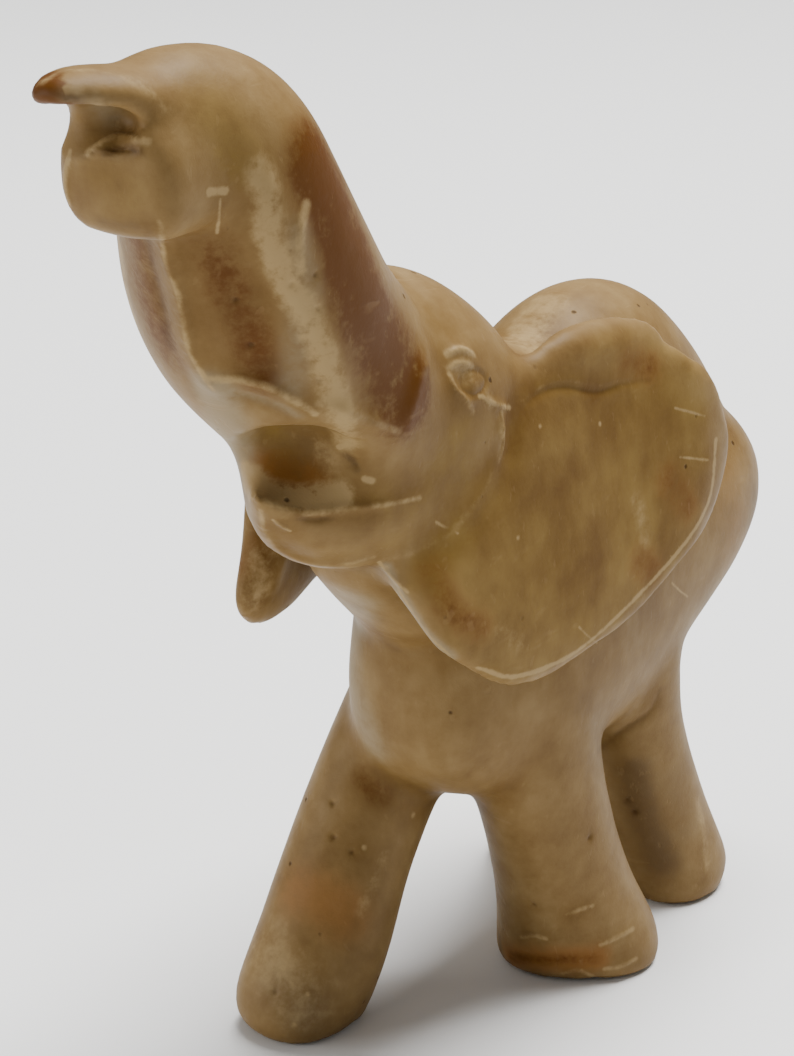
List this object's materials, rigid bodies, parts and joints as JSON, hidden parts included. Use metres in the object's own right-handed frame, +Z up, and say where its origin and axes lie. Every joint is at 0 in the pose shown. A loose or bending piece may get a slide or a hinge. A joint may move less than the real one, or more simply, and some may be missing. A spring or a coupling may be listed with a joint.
{
  "type": "elephant sculpture",
  "caption": "Hand-carved soapstone elephant in mid stride, trunk raised and curled forward, mouth open, broad flat ears, polished mottled tan and brown stone.",
  "frame": {"origin": "on the surface it stands on, under the middle of the carving's outline", "axes": "+Z up; the elephant faces -Y; +X is the animal's left side"},
  "size_m": [0.052, 0.1616, 0.1559],
  "materials": {
    "soapstone": "polished by hand, semi-gloss, mottled tan and brown"
  },
  "bodies": {
    "root": {"elephant": "soapstone"}
  },
  "joints": []
}
